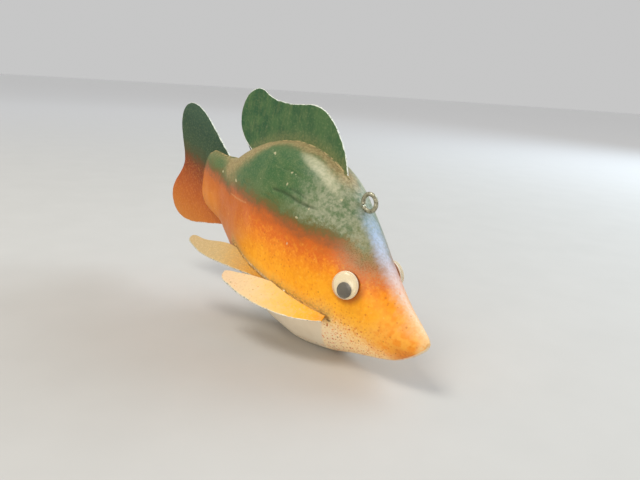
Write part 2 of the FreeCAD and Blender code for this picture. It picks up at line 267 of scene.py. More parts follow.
class Shader:
    """A thin wrapper that adds and links nodes in one material."""

    def __init__(self, name):
        self.material = bpy.data.materials.new(name)
        self.material.use_nodes = True
        self.tree = self.material.node_tree
        self.tree.nodes.clear()
        self.out = self.tree.nodes.new("ShaderNodeOutputMaterial")

    def put(self, socket, value):
        if isinstance(value, bpy.types.NodeSocket):
            self.tree.links.new(value, socket)
        else:
            socket.default_value = value

    def add(self, kind, inputs, **settings):
        node = self.tree.nodes.new("ShaderNode" + kind)
        for key, value in settings.items():
            setattr(node, key, value)
        for key, value in inputs.items():
            self.put(node.inputs[key], value)
        return node

    def math(self, operation, a, b=0.0):
        return self.add("Math", {0: a, 1: b}, operation=operation).outputs[0]

    def times(self, first, *others):
        for other in others:
            first = self.math("MULTIPLY", first, other)
        return first

    def plus(self, a, b):
        return self.math("ADD", a, b)

    def minus(self, a, b):
        return self.math("SUBTRACT", a, b)

    def stray(self, value, *layers):
        """Value pushed up and down by layers of (noise about 0.5, full swing)."""
        for layer, swing in layers:
            value = self.plus(value, self.times(self.plus(layer, -0.5), swing))
        return value

    def step(self, value, low, high, to_low=0.0, to_high=1.0):
        """Smooth change from to_low to to_high as value goes from low to high."""
        inputs = {"Value": value, "From Min": low, "From Max": high,
                  "To Min": to_low, "To Max": to_high}
        return self.add("MapRange", inputs, interpolation_type="SMOOTHSTEP").outputs["Result"]

    def share(self, value, points):
        """Value as a share of the range that the points' first numbers span."""
        low = min(p[0] for p in points)
        high = max(p[0] for p in points)
        inputs = {"Value": value, "From Min": low, "From Max": high}
        part = self.add("MapRange", inputs).outputs["Result"]
        return part, [((p[0] - low) / (high - low), p[1]) for p in sorted(points)]

    def curve(self, value, points, bottom, top):
        """Read a smooth line of (x, y) points at value; y lies between bottom and top."""
        part, placed = self.share(value, points)
        placed = [(x, (y - bottom) / (top - bottom)) for x, y in placed]
        node = self.add("FloatCurve", {"Value": part})
        line = node.mapping.curves[0]
        line.points[0].location = placed[0]
        line.points[1].location = placed[-1]
        for place in placed[1:-1]:
            line.points.new(*place)
        node.mapping.update()
        inputs = {"Value": node.outputs[0], "To Min": bottom, "To Max": top}
        return self.add("MapRange", inputs, clamp=False).outputs["Result"]

    def ramp(self, value, stops):
        """Colour along (position, hex) stops."""
        part, placed = self.share(value, stops)
        node = self.add("ValToRGB", {"Fac": part})
        elements = node.color_ramp.elements
        while len(elements) < len(placed):
            elements.new(0.5)
        for element, (at, code) in zip(elements, placed):
            element.position = at
            element.color = colour(code)
        return node.outputs["Color"]

    def mix(self, share, a, b):
        node = self.tree.nodes.new("ShaderNodeMix")
        node.data_type = "RGBA"
        self.put(node.inputs[0], share)
        self.put(node.inputs[6], colour(a) if isinstance(a, str) else a)
        self.put(node.inputs[7], colour(b) if isinstance(b, str) else b)
        return node.outputs[2]

    def over(self, base, top, *shares):
        """Base with a colour laid over it; the shares are multiplied together."""
        return self.mix(self.times(*shares), base, top)

    def mottle(self, base, *layers):
        """Base with noisy patches over it: (where, noise, low, high, share, colour) each."""
        for where, grain, low, high, share, top in layers:
            base = self.over(base, top, where, self.step(grain, low, high, 0.0, share))
        return base

    def spatter(self, base, place, layers, stops, *where):
        """Base with round specks over it: (gap, radius, seed, share) for each layer."""
        for gap, radius, seed, share in layers:
            spots, pick = self.specks(place, gap, radius, seed)
            base = self.over(base, self.ramp(pick, stops), spots, *where, share)
        return base

    def noise(self, place, size, detail=3.0):
        """Noise about 0.5, with lumps of the given size in mm."""
        inputs = {"Vector": place, "Scale": 1.0 / size, "Detail": detail, "Roughness": 0.55}
        return self.add("TexNoise", inputs).outputs["Fac"]

    def fish(self, stretch=(1.0, 1.0, 1.0)):
        """Fish-frame place in mm, optionally divided by a stretch along each axis."""
        here = self.add("TexCoord", {}).outputs["Object"]
        back = np.linalg.inv(TURN)
        place = self.add("Mapping", {"Vector": here}, vector_type="POINT")
        place.inputs["Scale"].default_value = (1 / MM,) * 3
        place.inputs["Rotation"].default_value = (0, -PITCH, 0)
        place.inputs["Location"].default_value = tuple(-(back @ SHIFT))
        if stretch == (1.0, 1.0, 1.0):
            return place.outputs[0]
        shape = self.add("Mapping", {"Vector": place.outputs[0]}, vector_type="POINT")
        shape.inputs["Scale"].default_value = tuple(1 / s for s in stretch)
        return shape.outputs[0]

    def split(self, place):
        return self.add("SeparateXYZ", {"Vector": place}).outputs

    def read(self, name):
        return self.add("Attribute", {}, attribute_name=name).outputs["Fac"]

    def specks(self, place, gap, radius, seed):
        """Mask of round specks of the radius, about one per gap, in mm, and a random value."""
        moved = self.add("VectorMath", {0: place, 1: (seed, -seed, 0.5 * seed)}, operation="ADD")
        cells = self.add("TexVoronoi", {"Vector": moved.outputs[0], "Scale": 1.0 / gap})
        own = self.add("SeparateColor", {"Color": cells.outputs["Color"]}).outputs
        size = self.times(self.step(own[0], 0.2, 1.0, 0.15, 1.0), radius / gap)
        gone = self.minus(cells.outputs["Distance"], size)
        return self.step(gone, 0.04 * radius / gap, -0.35 * radius / gap), own[1]

    def bump(self, height, depth, after=None):
        """Bump of the given depth in mm, on top of another bump."""
        inputs = {"Height": height, "Distance": depth * MM, "Strength": 1.0}
        if after is not None:
            inputs["Normal"] = after
        return self.add("Bump", inputs).outputs["Normal"]

    def surface(self, base, roughness, normal=None, **more):
        inputs = {"Base Color": colour(base) if isinstance(base, str) else base,
                  "Roughness": roughness}
        if normal is not None:
            inputs["Normal"] = normal
        inputs.update({key.replace("_", " "): value for key, value in more.items()})
        shade = self.add("BsdfPrincipled", inputs)
        self.tree.links.new(shade.outputs[0], self.out.inputs["Surface"])
        return self.material


# ---- paint and other materials ----
# Height of the edge between the green back and the orange flank, along the fish.
GREEN_EDGE = [(0, 27), (-14, 26), (-20, 21), (-27, 19), (-34, 19.5), (-42, 22), (-52, 21.5),
              (-62, 20.5), (-80, 19.2), (-95, 17.2), (-105, 14.6), (-115, 12.4), (-125, 11),
              (-145, 8.5)]
# Height below which the flank fades to the cream belly.
CREAM_EDGE = [(0, -17), (-5, -12.5), (-9, -11.5), (-15, -10.8), (-24, -9.6), (-36, -10),
              (-46, -12.5), (-65, -17), (-85, -22), (-100, -30), (-110, -38), (-145, -38)]
# Half width of the rubbed band along the back and the stub.
RIDGE_REACH = [(0, 3), (-30, 3), (-46, 2.6), (-54, 3.4), (-70, 4.2), (-90, 5.4), (-105, 9.4),
               (-118, 8), (-130, 2.4), (-145, 2.6)]
# Flank colours by height above or below the green edge, in mm.
FLANK = [(10, "3e6237"), (5, "436437"), (2.0, "576536"), (-0.5, "6e5d2e"), (-3, "98582a"),
         (-6, "c4611d"), (-10, "df711a"), (-15, "f18c14"), (-20, "faa314"), (-28, "ffb126"),
         (-36, "fbc055")]
# Colours of the pale band down the nose, pale paint with a painted bluish sheen towards the back,
# and of the tail, by place in mm.
NOSE_BAND_AND_SHEEN = [(-44, "8fb4d8"), (-36, "a6bcd8"), (-29, "bfc2d2"), (-20, "dfc0b0"), (-6, "f3cf9c")]
TAIL = [(28, "34503a"), (20, "2b4630"), (12, "33492d"), (7.5, "4a4a28"), (4, "673f19"),
        (0, "82390c"), (-5, "9e480e"), (-12, "b25611"), (-20, "bf6818"), (-29, "c47627")]
# Side-fin colours by how far out on the leaf, root to tip.
LEAF = [(0.0, "eea020"), (0.2, "fbb834"), (0.42, "f0c46c"), (0.65, "e9cd98"), (1.0, "e6c8a0")]
# Specks, dark to bright: on the belly, on the flank, on the side fins and in the filler.
BELLY_SPECKS = [(0.0, "8a3c14"), (0.12, "c04a1a"), (0.7, "e46c28"), (1.0, "f29a40")]
FLANK_SPECKS = [(0.0, "84461a"), (0.12, "b8541a"), (0.6, "d85a14"), (1.0, "ffc860")]
LEAF_SPECKS = [(0.0, "8a5a20"), (0.4, "d9772a"), (1.0, "e8a85a")]
PUTTY_SPECKS = [(0.0, "3a2c18"), (0.55, "4c3a20"), (0.6, "e8d9b4"), (1.0, "efe3c4")]


def paint_material():
    """Airbrushed paint: orange flanks, green back, pale nose band and cream belly."""
    s = Shader("decoy_paint")
    f = SimpleNamespace(place=s.fish())
    f.x, f.y, f.z = s.split(f.place)[:3]
    f.streak = s.noise(s.fish((6.0, 1.0, 1.0)), 2.2, 4.0)
    f.cloud = s.noise(f.place, 7.0)
    f.fine = s.noise(f.place, 1.0)
    f.dust = s.noise(f.place, 0.45, 2.0)
    f.blotch = s.noise(f.place, 2.4)
    above = s.minus(f.z, s.curve(f.x, GREEN_EDGE, 0, 40))
    above = s.times(above, s.step(f.x, -50, -34, 1.0, 1.35))
    f.above = s.stray(above, (f.cloud, 7.0), (f.streak, 4.0), (f.fine, 3.4), (f.dust, 1.8))
    f.flank = s.step(f.above, -4, -12)
    f.back = s.step(f.above, -1.0, 4.0)

    base = flank_coat(s, f)
    base = back_coat(s, f, base)
    base = nose_coat(s, f, base)
    base = belly_coat(s, f, base)
    base = worn_coat(s, f, base)

    grain = s.noise(s.fish((14.0, 1.0, 1.0)), 0.9)
    normal = s.bump(grain, 0.05)
    normal = s.bump(f.fine, 0.08, normal)
    normal = s.bump(s.plus(f.chip, f.flakes), -0.05, normal)
    gloss = s.plus(s.step(f.cloud, 0.3, 0.7, 0.36, 0.48), s.times(f.ridge, 0.22))
    gloss = s.plus(gloss, s.times(s.plus(f.dirt, f.chip), 0.3))
    return s.surface(base, gloss, normal, Specular_IOR_Level=0.22)


def flank_coat(s, f):
    """Mottled orange to yellow, browner towards the stub and dusky over the cheek."""
    rich = s.times(f.flank, s.step(f.above, -17, -9, 0.3, 1.0))
    base = s.mottle(s.ramp(f.above, FLANK),
                    (rich, f.blotch, 0.54, 0.36, 0.40, "d9621a"),
                    (f.flank, f.blotch, 0.50, 0.66, 0.30, "ffb426"),
                    (rich, f.fine, 0.54, 0.36, 0.42, "d05f16"),
                    (f.flank, f.fine, 0.50, 0.68, 0.28, "ffc044"))
    rear = s.times(s.step(f.x, -74, -104), s.step(f.above, -2, -7))
    base = s.over(base, s.mix(f.fine, "b25508", "c96d10"), rear, 0.82)
    stub = s.times(s.step(f.x, -116, -128, 0.0, 0.6), s.step(f.above, -6, -15, 0.25, 1.0))
    base = s.over(base, "e58a10", rear, stub)
    snout = s.times(f.flank, s.step(f.x, -26, -10, 0.0, 0.75))
    base = s.over(base, "f48a0e", snout, s.step(f.blotch, 0.36, 0.62, 1.0, 0.5))
    haze = s.times(s.step(f.x, -44, -33), s.step(f.x, -8, -22), s.step(f.above, -15, -5),
                   s.step(f.dust, 0.36, 0.58, 0.4, 1.0))
    return s.over(base, "be986e", haze, 0.55)


def back_coat(s, f, base):
    """Green back: mottled, thin over the hump, with a pale streak on the hump that is rubbed paint
    and a painted highlight, rubbed to tan along the ridge.
    """
    base = s.mottle(base,
                    (f.back, f.cloud, 0.42, 0.66, 0.45, "66764a"),
                    (f.back, f.streak, 0.50, 0.68, 0.6, "2c5832"),
                    (f.back, f.fine, 0.52, 0.66, 0.22, "7b875c"),
                    (f.back, f.dust, 0.50, 0.68, 0.25, "8c9568"))
    brow = s.times(s.step(f.x, -72, -50), s.step(f.x, -26, -38), f.back,
                   s.step(f.fine, 0.36, 0.62, 0.6, 0.95),
                   s.step(f.blotch, 0.62, 0.44, 0.35, 1.0))
    base = s.over(base, "a6a68a", brow, 0.84)
    aside = s.math("ABSOLUTE", f.y)
    # a pale streak along the hump's crest: rubbed paint and a painted highlight
    along = s.times(s.plus(f.x, 61.5), 0.075)
    across = s.times(s.plus(aside, -7.0), 0.42)
    off_hump = s.plus(s.times(along, along), s.times(across, across))
    rub_and_highlight = s.times(s.step(off_hump, 1.3, 0.05), s.step(f.z, 28, 32),
                  s.step(f.fine, 0.3, 0.6, 0.7, 1.0))
    base = s.over(base, "d2cba8", rub_and_highlight, 0.62)
    near = s.minus(s.stray(aside, (f.cloud, 5.0)), s.curve(f.x, RIDGE_REACH, 0, 10))
    near = s.stray(near, (f.dust, 4.5))
    f.ridge = s.times(s.step(near, 3.0, -1.6), s.step(f.z, 10, 15),
                      s.step(f.x, -46, -54), s.step(f.x, -134, -122, 0.5, 1.0))
    tan = s.mix(s.step(f.fine, 0.36, 0.64), "9a8259", "b49e70")
    return s.over(base, tan, f.ridge, 0.8)


def nose_coat(s, f, base):
    """The pale band down the forehead, wider on the left side, partly pale paint and partly a
    painted bluish sheen further back, and its patch at the tip.
    """
    comb = s.noise(s.fish((1.0, 4.0, 4.0)), 0.9)
    off = s.math("MAXIMUM", s.times(f.y, 0.55), s.times(f.y, -1.0))
    off = s.stray(off, (comb, 3.0), (f.cloud, 4.0))
    # the pale band: pale paint, with a painted bluish sheen of window light further back
    band = s.times(s.step(off, 5.4, 0.0), s.step(f.x, -46, -34), s.step(f.z, 0, 3))
    base = s.over(base, s.ramp(f.x, NOSE_BAND_AND_SHEEN), band, s.step(f.fine, 0.36, 0.60, 0.65, 0.92))
    tip = s.times(s.step(f.x, -3.2, -0.8), s.step(f.fine, 0.30, 0.55, 0.4, 0.9))
    return s.over(base, "f6c888", tip)


def belly_coat(s, f, base):
    """Cream belly, with spatter everywhere but where the front fins kept the spray off; that patch
    is painted greyer as shade under the fins.
    """
    low = s.minus(s.curve(f.x, CREAM_EDGE, -40, 0), f.z)
    low = s.stray(low, (f.cloud, 5.0), (f.fine, 9.0))
    cream = s.mix(s.step(f.x, -36, -22), "f8e2b8", "ffdca0")
    base = s.over(base, cream, s.step(low, -5.0, 4.0))
    # Unspeckled under the front fins, where they kept the spray off; its greyer tone is painted
    # shade.
    masked_and_shaded = s.times(s.read("fin_shadow"), s.step(f.fine, -0.4, 0.3))
    base = s.over(base, s.mix(f.cloud, "dccdb2", "ecdfc8"), masked_and_shaded)
    chin = s.times(s.step(f.x, -13, -5), s.step(f.z, -2, -6))
    base = s.over(base, "ce7018", chin, s.step(f.fine, 0.38, 0.56, 0.4, 0.85))
    base = s.over(base, "ecd8b6", s.read("chin_strip"), 0.9)
    clean = s.minus(1.0, masked_and_shaded)
    dense = s.times(s.step(low, -14.0, 0.0), clean, s.step(f.x, -75, -40, 0.35, 1.0))
    base = s.mottle(base, (dense, f.dust, 0.52, 0.64, 0.4, "f0a24c"))
    base = s.spatter(base, f.place, [(1.15, 0.50, 3.0, 0.8), (0.8, 0.40, 9.0, 0.75)],
                     BELLY_SPECKS, dense)
    return s.spatter(base, f.place, [(3.2, 0.42, 11.0, 0.6), (1.5, 0.50, 23.0, 0.4)],
                     FLANK_SPECKS, f.flank, clean)


def worn_coat(s, f, base):
    """Grime along the side kerfs, a painted shadow round the eyes, painted shade in the grooves,
    and chipped paint.
    """
    kerf = s.read("kerf_dirt")
    base = s.over(base, "cba65e", kerf, s.step(f.dust, 0.40, 0.56, 0.2, 1.0), 0.74)
    f.dirt = s.times(s.math("POWER", kerf, 5.0), s.step(f.fine, 0.42, 0.56, 0.1, 1.0))
    base = s.over(base, s.mix(f.dust, "5e4c2a", "96804c"), f.dirt, 0.7)
    # in the carved grooves: painted shade, darker where they cut deeper
    # round the eyes: a painted shadow cast by the eye on the cheek
    for label, share, top in (("eye_painted_shadow", 0.8, "964610"), ("gap", 0.85, "3c2614"),
                              ("groove_shade", 0.68, "2f4024"), ("scratch", 0.5, "cfae78")):
        base = s.over(base, top, s.read(label), share)
    f.chip = s.step(s.stray(s.read("chip"), (f.fine, 1.6)), 0.5, 0.75)
    base = s.over(base, "cabf98", f.chip, 0.68)
    flakes, pick = s.specks(f.place, 4.0, 0.36, 41.0)
    f.flakes = s.times(flakes, f.back, s.step(pick, 0.35, 0.5))
    return s.over(base, "b3b088", f.flakes, 0.6)


def sheet_material(name, tint, rim_wear_and_highlight="e6e9dc"):
    """Painted tin: tint(shader, place) gives the paint; the cut edge is rubbed to bare tin,
    coloured bright as a painted highlight too.
    """
    s = Shader(name)
    place = s.fish()
    paint = tint(s, place)
    fine = s.noise(place, 0.8)
    rim = s.stray(s.read("rim"), (s.noise(place, 4.5, 2.0), 0.9))
    worn = s.step(rim, 0.40, 0.14)
    # bare tin at the worn rim, coloured bright as a painted highlight along the edge too
    base = s.mix(worn, paint, s.mix(s.step(fine, 0.3, 0.5), "8a8f80", rim_wear_and_highlight))
    normal = s.bump(s.noise(place, 3.0, 2.0), 0.12, s.bump(fine, 0.03))
    gloss = s.plus(s.step(fine, 0.3, 0.7, 0.38, 0.55), s.times(worn, -0.08))
    return s.surface(base, gloss, normal, Metallic=s.times(worn, 0.25), Specular_IOR_Level=0.25)


def dorsal_paint(s, place):
    x, _, z = s.split(place)[:3]
    streak = s.noise(s.fish((1.0, 1.0, 4.0)), 2.0, 4.0)
    cloud = s.noise(place, 7.0)
    fine = s.noise(place, 0.8)
    base = s.mix(s.step(cloud, 0.38, 0.62), "2c5431", "43653a")
    base = s.mottle(base,
                    (1.0, streak, 0.46, 0.68, 0.32, "6e7a4c"),
                    (1.0, x, -108, -62, 0.4, "536e43"),
                    (1.0, fine, 0.50, 0.68, 0.26, "7e8a60"),
                    (1.0, fine, 0.48, 0.34, 0.25, "284d2c"))
    over_back = s.stray(s.minus(z, s.curve(x, BACK, 0, 45)), (streak, 7))
    base = s.over(base, "7c7f52", s.step(over_back, 6, 0), s.step(fine, 0.34, 0.62, 0.35, 0.75))
    return s.over(base, "a3aa86", s.specks(place, 2.2, 0.26, 7.0)[0], 0.5)


def tail_paint(s, place):
    z = s.split(place)[2]
    cloud = s.noise(place, 5.0)
    fine = s.noise(place, 0.9)
    streak = s.noise(s.fish((5.0, 1.0, 1.0)), 2.0)
    base = s.ramp(s.stray(z, (cloud, 6.0), (streak, 3.0), (fine, 5.0)), TAIL)
    base = s.mottle(base,
                    (s.step(z, 6, 12), fine, 0.48, 0.66, 0.4, "66744e"),
                    (s.step(z, 6, 0), fine, 0.48, 0.64, 0.3, "d98a3a"))
    mist = s.mix(s.step(z, 0, 10), "7a4a1c", "8f9a70")
    return s.over(base, mist, s.specks(place, 2.4, 0.36, 13.0)[0], 0.22)


def side_fin_paint(s, place):
    fine = s.noise(place, 0.9)
    out = s.stray(s.read("reach"), (s.noise(place, 4.0), 0.35), (fine, 0.22))
    outer = s.step(out, 0.25, 0.8, 0.2, 0.7)
    base = s.spatter(s.ramp(out, LEAF), place, [(1.5, 0.36, 5.0, outer), (1.1, 0.26, 19.0, outer)],
                     LEAF_SPECKS)
    return s.mottle(base, (1.0, fine, 0.50, 0.66, 0.35, "d6b682"))


def rear_fin_painted_shade(s, place):
    """The rear pair: the same paint, patchily darkened as painted shade."""
    dust = s.noise(place, 0.7)
    # patchy darker tint over the rear fins: painted shade
    shade_film = s.mix(s.step(s.read("reach"), 0.1, 0.6), "bb7f26", "b9a06c")
    return s.over(side_fin_paint(s, place), shade_film, s.step(dust, 0.35, 0.6, 0.6, 0.85))


def filler_material(name, tone, worn_tone):
    """Lumpy putty, painted over and rubbed, with grime in its pits."""
    s = Shader(name)
    place = s.fish()
    cloud = s.noise(place, 2.2)
    fine = s.noise(place, 0.5)
    base = s.mix(s.step(cloud, 0.40, 0.62), tone, worn_tone)
    base = s.spatter(base, place, [(2.6, 0.55, 31.0, 0.9)], PUTTY_SPECKS)
    return s.surface(base, 0.62, s.bump(fine, 0.10, s.bump(cloud, 0.15)), Specular_IOR_Level=0.3)


def wire_material():
    s = Shader("aged_wire")
    place = s.fish()
    cloud = s.noise(place, 1.1, 4.0)
    fine = s.noise(place, 0.3, 2.0)
    base = s.ramp(cloud, [(0.3, "6b665a"), (0.46, "979279"), (0.60, "b4af95"), (0.8, "cfcab4")])
    base = s.mix(s.step(fine, 0.58, 0.75, 0.0, 0.6), base, "544634")
    return s.surface(base, s.step(cloud, 0.3, 0.7, 0.55, 0.32), s.bump(fine, 0.03), Metallic=0.55)


def lead_material():
    s = Shader("poured_lead")
    place = s.fish()
    cloud = s.noise(place, 3.0, 4.0)
    base = s.mix(cloud, "55585c", "7c7f82")
    return s.surface(base, 0.6, s.bump(cloud, 0.2), Metallic=0.8)


def backing_material():
    s = Shader("eye_backing_white")
    cloud = s.noise(s.fish(), 2.0)
    return s.surface(s.mix(cloud, "efe6cf", "fbf5e4"), 0.5, s.bump(cloud, 0.003))


def pupil_material():
    s = Shader("pupil_black")
    fine = s.noise(s.fish(), 0.4)
    base = s.mix(fine, "0c0b0a", "2a2724")
    return s.surface(base, s.step(fine, 0.3, 0.7, 0.3, 0.5), s.bump(fine, 0.01))


def dome_material():
    """Clear plastic gone slightly milky: light passes, with a soft gloss and a haze."""
    s = Shader("clear_dome")
    mist = s.noise(s.fish(), 1.6)
    clear = s.add("BsdfTransparent", {"Color": colour("fefbf4")})
    haze = s.add("BsdfDiffuse", {"Color": colour("f6ecd8")})
    shine = s.add("BsdfGlossy", {"Color": (1, 1, 1, 1), "Roughness": 0.28})
    facing = s.add("LayerWeight", {"Blend": 0.5}).outputs["Facing"]
    veil = s.plus(s.step(mist, 0.3, 0.7, 0.02, 0.04), s.times(s.times(facing, facing), 0.5))
    body = s.add("MixShader", {0: veil, 1: clear.outputs[0], 2: haze.outputs[0]})
    gleam = s.math("MINIMUM", s.add("Fresnel", {"IOR": 1.46}).outputs[0], 0.035)
    whole = s.add("MixShader", {0: gleam, 1: body.outputs[0], 2: shine.outputs[0]})
    s.tree.links.new(whole.outputs[0], s.out.inputs["Surface"])
    return s.material


def glue_material():
    s = Shader("dark_glue")
    cloud = s.noise(s.fish(), 0.9)
    return s.surface(s.mix(cloud, "6e3d14", "a86222"), 0.3, s.bump(cloud, 0.06))


# ---- carved body ----
NOSE_ROUND = 0.6
END_ROUND = 1.5
ROWS = 304
COLS = 308
MID_LIFT = 0.04            # how far above half height the body is widest, over its height
SKIN_INSET = 0.05          # keeps the lumps inside the CAD body
LEAD_GAP = 0.06            # between the lead and the wall of its pocket
CHIP_DEPTH = 0.06
INSIDE = np.array([0.0, 0.0, 4.0])
END_RINGS = (0.75, 0.5, 0.25)
LUMPS = [(0.16, (0.5, 1, 1), 11.0, 1), (0.05, (0.3, 1, 1), 3.5, 2)]   # height, squash, size, seed
GROOVES = [  # (path of (x, z) on the right flank, width, depth)
    ([(-77.0, 25.2), (-70.0, 26.5), (-62.4, 26.6), (-53.5, 27.2)], 1.4, 0.62),
    ([(-68.5, 29.0), (-64.0, 29.2), (-59.5, 28.9)], 1.0, 0.32),
    ([(-76.0, 33.6), (-71.0, 34.3), (-66.0, 34.2)], 1.0, 0.16),
]
DARK_GROOVE = 0.6          # depth at which a groove's painted shade is fully dark
LEFT_GROOVE = ([(-92, 20), (-80, 22.5), (-66, 23.5)], 0.5)
SCRATCH = ([(-107.7, 9.4), (-98.0, 11.0), (-90.3, 13.0)], 0.5)
CHIPS = [  # (x, z, length, height) on the right flank
    (-105.6, 16.0, 1.8, 0.9), (-123.8, 12.4, 1.0, 0.8), (-86.4, 35.7, 1.5, 0.6),
    (-71.5, 34.0, 0.6, 0.6), (-70.7, 29.8, 0.6, 0.6), (-86.0, 25.6, 0.5, 0.5),
    (-56.4, 26.2, 0.7, 0.6), (-59.9, 21.4, 1.4, 0.5), (-60.4, 10.4, 0.7, 0.6),
    (-48.8, 32.6, 0.7, 0.4),
]
LEFT_CHIPS = [(-96.0, 22.0, 1.4, 0.7), (-68.0, 31.0, 0.6, 0.6), (-117.0, 12.0, 1.0, 0.7),
              (-52.0, 24.0, 0.8, 0.6), (-79.0, 14.0, 0.7, 0.5)]
SIDES = ((-1, "right"), (1, "left"))
ROUND_SIZES = (17, 38)     # half width and half height of a typical section
KERF_LINES = ((FRONT_KERF_Z, -36.0, -64.0), (REAR_KERF_Z, -67.0, -99.0))
OPEN_KERF_X = -35.0
KERF_GRIME = (0.4, 7.0)    # grime fades over these distances from a kerf, and the eye's painted shadow over these from the eye's rim
EYE_SHADOW_FADE = (0.2, 3.0)     # and over these from the eye's rim
EYE_SHADE = np.array([0.45, 0.0, -0.9])   # the eye's painted shadow falls on this side of the eye


def section_sizes(x):
    """Top, bottom, widest height, half width and roundness at x, ends rounded off."""
    x = np.asarray(x, float)
    inner = np.clip(x, STUB_END + END_ROUND, -NOSE_ROUND)
    top = profile(BACK, inner)
    low = profile(KEEL, inner)
    wide = profile(HALF_WIDTH, inner)
    tip = np.sqrt(np.clip(1 - (np.maximum(x + NOSE_ROUND, 0) / NOSE_ROUND) ** 2, 0, 1))
    lost = np.clip(STUB_END + END_ROUND - x, 0, END_ROUND)
    trim = END_ROUND - np.sqrt(np.clip(END_ROUND ** 2 - lost ** 2, 0, None))
    top = top * tip - trim
    low = low * tip + trim
    mid = (top + low) / 2 + MID_LIFT * (top - low)
    return top, low, mid, wide * tip - trim, profile(FULLNESS, x)


def skin(x, angle):
    """Points of the body's surface; angle 90 degrees is the back, 0 is the left side."""
    top, low, mid, wide, full = section_sizes(x)
    power = 2.0 / full
    c = np.cos(angle)
    s = np.sin(angle)
    y = wide * np.sign(c) * np.abs(c) ** power
    reach = np.where(s > 0, top - mid, mid - low)
    z = mid + reach * np.sign(s) * np.abs(s) ** power
    return np.stack([np.broadcast_to(x, y.shape), y, z], -1)


def line_mask(points, side, path, width):
    """1 on a line drawn on one flank, falling to 0 at its width; ends taper."""
    p = points[..., [0, 2]]
    route = smooth_line(path, 40)
    best = np.full(points.shape[:-1], 1e9)
    share = np.zeros(points.shape[:-1])
    for k, q in enumerate(route):
        d = np.linalg.norm(p - q, axis=-1)
        closer = d < best
        best = np.where(closer, d, best)
        share = np.where(closer, k / (len(route) - 1), share)
    taper = np.sqrt(np.clip(4 * share * (1 - share), 0, 1))
    mask = 1 - step(best, 0.0, width * (0.4 + 0.6 * taper))
    return mask * (points[..., 1] * side > 0)


def chip_mask(points, side, chips):
    total = np.zeros(points.shape[:-1])
    for x, z, length, height in chips:
        d = np.hypot((points[..., 0] - x) / length, (points[..., 2] - z) / height)
        total = np.maximum(total, (1 - step(d, 0.3, 1.3)) * (points[..., 1] * side > 0))
    return total


def kerf_distance(points):
    """Distance in mm above the side-fin kerfs' lines, measured down the flank."""
    x = points[..., 0]
    best = np.full(x.shape, 1e9)
    for kerf_z, start, end in KERF_LINES:
        out = np.abs(points[..., 1]) - KERF_Y
        line_z = kerf_z - out * math.tan(DROOP)
        along = np.maximum(np.maximum(x - start, end - x), 0)
        best = np.minimum(best, np.hypot(points[..., 2] - line_z, along * 1.6))
    return best


def spaced_angles():
    """Section angles at even steps round a typical section, closer on the back."""
    fine = np.linspace(0, 2 * np.pi, 4000)
    middle = (fine[1:] + fine[:-1]) / 2
    wide, high = ROUND_SIZES
    size = np.hypot(wide * np.sin(middle), high * np.cos(middle)) * (1 + 0.3 * np.sin(middle))
    share = np.concatenate([[0], np.cumsum(size)]) / size.sum()
    return np.interp(np.arange(COLS) / COLS, share, fine)


def rows_of_skin():
    """Places of the rows along the body, closer near both ends, and their points."""
    u = np.linspace(0, 1, ROWS)
    ends = 0.5 - 0.5 * np.cos(np.pi * u)
    x = STUB_END * (0.25 * u + 0.75 * ends)
    points = skin(x[:, None], spaced_angles()[None, :])
    points[0] = points[0].mean(axis=0)
    return x, points


def outward(points):
    """Unit directions out of a closed tube of points."""
    along = np.gradient(points, axis=0)
    around = np.roll(points, -1, axis=1) - np.roll(points, 1, axis=1)
    out = np.cross(along, around)
    out /= np.linalg.norm(out, axis=-1, keepdims=True) + 1e-9
    return out * np.sign((out * (points - INSIDE)).sum(-1, keepdims=True).mean())


def carvings(points):
    """How deep the skin is cut or chipped, and the marks that colour it."""
    groove_shade = np.zeros(points.shape[:-1])
    depth = np.zeros(points.shape[:-1])
    # The grooves are painted dark as the shade in them, more so the deeper they are cut.
    for path, width, deep in GROOVES:
        line = line_mask(points, -1, path, width)
        groove_shade = np.maximum(groove_shade, line ** 2 * deep / DARK_GROOVE)
        depth = np.maximum(depth, line * deep)
    left = line_mask(points, 1, *LEFT_GROOVE)
    groove_shade = np.maximum(groove_shade, left * 0.5)
    depth = np.maximum(depth, left * 0.3)
    scratch = line_mask(points, -1, *SCRATCH)
    chips = np.maximum(chip_mask(points, -1, CHIPS), chip_mask(points, 1, LEFT_CHIPS))
    return depth + CHIP_DEPTH * chips, {"groove_shade": groove_shade, "scratch": scratch, "chip": chips}


